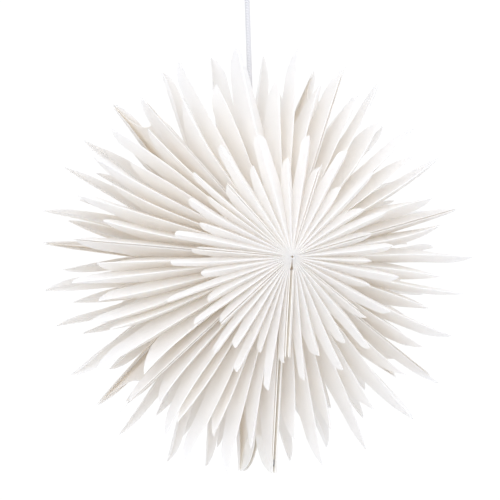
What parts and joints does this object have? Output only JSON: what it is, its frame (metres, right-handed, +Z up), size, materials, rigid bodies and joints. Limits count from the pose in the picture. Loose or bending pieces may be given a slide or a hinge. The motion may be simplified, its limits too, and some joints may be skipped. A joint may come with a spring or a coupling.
{
  "type": "hanging paper star",
  "caption": "Fold-flat round paper star with a pleated fringe and long pointed blades front and back, hung by a cord and closed into a full circle by magnets.",
  "frame": {"origin": "where a hook bears, inside the top of the hanging loop, on the cord's line", "axes": "+Z up along the cord, the star's front faces -Y, +X to the star's right as seen from the front; the star's own axis runs along Y, 353 mm below the origin"},
  "size_m": [0.5064, 0.235, 0.618],
  "materials": {
    "pleated_paper": "matte",
    "wall_paper": "matte",
    "card": "matte",
    "cord": "matte",
    "magnet": "satin"
  },
  "bodies": {
    "hanger": {"cord": "cord", "hanging_loop": "cord", "loop_knot": "cord", "end_knot": "cord", "hanging_strip": "card", "bag_4_front_fringe": "pleated_paper", "bag_4_front_blades": "pleated_paper", "bag_4_back_fringe": "pleated_paper", "bag_4_back_blades": "pleated_paper"},
    "leaf_3": {"bag_3_wall_b": "wall_paper", "bag_4_wall_a": "wall_paper", "bag_3_front_fringe": "pleated_paper", "bag_3_front_blades": "pleated_paper", "bag_3_back_fringe": "pleated_paper", "bag_3_back_blades": "pleated_paper"},
    "leaf_2": {"bag_2_wall_b": "wall_paper", "bag_3_wall_a": "wall_paper", "bag_2_front_fringe": "pleated_paper", "bag_2_front_blades": "pleated_paper", "bag_2_back_fringe": "pleated_paper", "bag_2_back_blades": "pleated_paper"},
    "leaf_1": {"bag_1_wall_b": "wall_paper", "bag_2_wall_a": "wall_paper", "bag_1_front_fringe": "pleated_paper", "bag_1_front_blades": "pleated_paper", "bag_1_back_fringe": "pleated_paper", "bag_1_back_blades": "pleated_paper"},
    "leaf_0": {"bag_1_wall_a": "wall_paper", "end_cover_right": "card", "magnet_front_right": "magnet", "magnet_back_right": "magnet"},
    "leaf_4": {"bag_4_wall_b": "wall_paper", "bag_5_wall_a": "wall_paper", "bag_5_front_fringe": "pleated_paper", "bag_5_front_blades": "pleated_paper", "bag_5_back_fringe": "pleated_paper", "bag_5_back_blades": "pleated_paper"},
    "leaf_5": {"bag_5_wall_b": "wall_paper", "bag_6_wall_a": "wall_paper", "bag_6_front_fringe": "pleated_paper", "bag_6_front_blades": "pleated_paper", "bag_6_back_fringe": "pleated_paper", "bag_6_back_blades": "pleated_paper"},
    "leaf_6": {"bag_6_wall_b": "wall_paper", "bag_7_wall_a": "wall_paper", "bag_7_front_fringe": "pleated_paper", "bag_7_front_blades": "pleated_paper", "bag_7_back_fringe": "pleated_paper", "bag_7_back_blades": "pleated_paper"},
    "leaf_7": {"bag_7_wall_b": "wall_paper", "end_cover_left": "card", "magnet_front_left": "magnet", "magnet_back_left": "magnet"}
  },
  "joints": [
    {"name": "bag_4_left_fold", "type": "hinge", "parent": "hanger", "child": "leaf_4", "pos_m": [0, 0, -0.34506], "axis": [0, 1, 0], "range_deg": [0, 39], "deforming": ["bag_4_front_fringe", "bag_4_front_blades", "bag_4_back_fringe", "bag_4_back_blades"]},
    {"name": "bag_4_right_fold", "type": "hinge", "parent": "hanger", "child": "leaf_3", "pos_m": [0, 0, -0.34071], "axis": [0, -1, 0], "range_deg": [0, 24], "deforming": ["bag_4_front_fringe", "bag_4_front_blades", "bag_4_back_fringe", "bag_4_back_blades"]},
    {"name": "bag_3_fold", "type": "hinge", "parent": "leaf_3", "child": "leaf_2", "pos_m": [0.00605, 0, -0.34801], "axis": [0, -1, 0], "range_deg": [0, 53], "deforming": ["bag_3_front_fringe", "bag_3_front_blades", "bag_3_back_fringe", "bag_3_back_blades"]},
    {"name": "bag_2_fold", "type": "hinge", "parent": "leaf_2", "child": "leaf_1", "pos_m": [0.00827, 0, -0.35468], "axis": [0, -1, 0], "range_deg": [0, 49], "deforming": ["bag_2_front_fringe", "bag_2_front_blades", "bag_2_back_fringe", "bag_2_back_blades"]},
    {"name": "bag_1_fold", "type": "hinge", "parent": "leaf_1", "child": "leaf_0", "pos_m": [0.00332, 0, -0.35974], "axis": [0, -1, 0], "range_deg": [0, 55.5], "deforming": ["bag_1_front_fringe", "bag_1_front_blades", "bag_1_back_fringe", "bag_1_back_blades"]},
    {"name": "bag_5_fold", "type": "hinge", "parent": "leaf_4", "child": "leaf_5", "pos_m": [-0.0081, 0, -0.34855], "axis": [0, 1, 0], "range_deg": [0, 44.5], "deforming": ["bag_5_front_fringe", "bag_5_front_blades", "bag_5_back_fringe", "bag_5_back_blades"]},
    {"name": "bag_6_fold", "type": "hinge", "parent": "leaf_5", "child": "leaf_6", "pos_m": [-0.00821, 0, -0.35559], "axis": [0, 1, 0], "range_deg": [0, 48], "deforming": ["bag_6_front_fringe", "bag_6_front_blades", "bag_6_back_fringe", "bag_6_back_blades"]},
    {"name": "bag_7_fold", "type": "hinge", "parent": "leaf_6", "child": "leaf_7", "pos_m": [-0.00371, 0, -0.36096], "axis": [0, 1, 0], "range_deg": [0, 47], "deforming": ["bag_7_front_fringe", "bag_7_front_blades", "bag_7_back_fringe", "bag_7_back_blades"]}
  ],
  "couplings": [
    {"joint": "bag_4_right_fold", "follows": "bag_4_left_fold", "ratio": 0.61538},
    {"joint": "bag_3_fold", "follows": "bag_4_left_fold", "ratio": 1.359},
    {"joint": "bag_2_fold", "follows": "bag_4_left_fold", "ratio": 1.2564},
    {"joint": "bag_1_fold", "follows": "bag_4_left_fold", "ratio": 1.4231},
    {"joint": "bag_5_fold", "follows": "bag_4_left_fold", "ratio": 1.141},
    {"joint": "bag_6_fold", "follows": "bag_4_left_fold", "ratio": 1.2308},
    {"joint": "bag_7_fold", "follows": "bag_4_left_fold", "ratio": 1.2051}
  ]
}
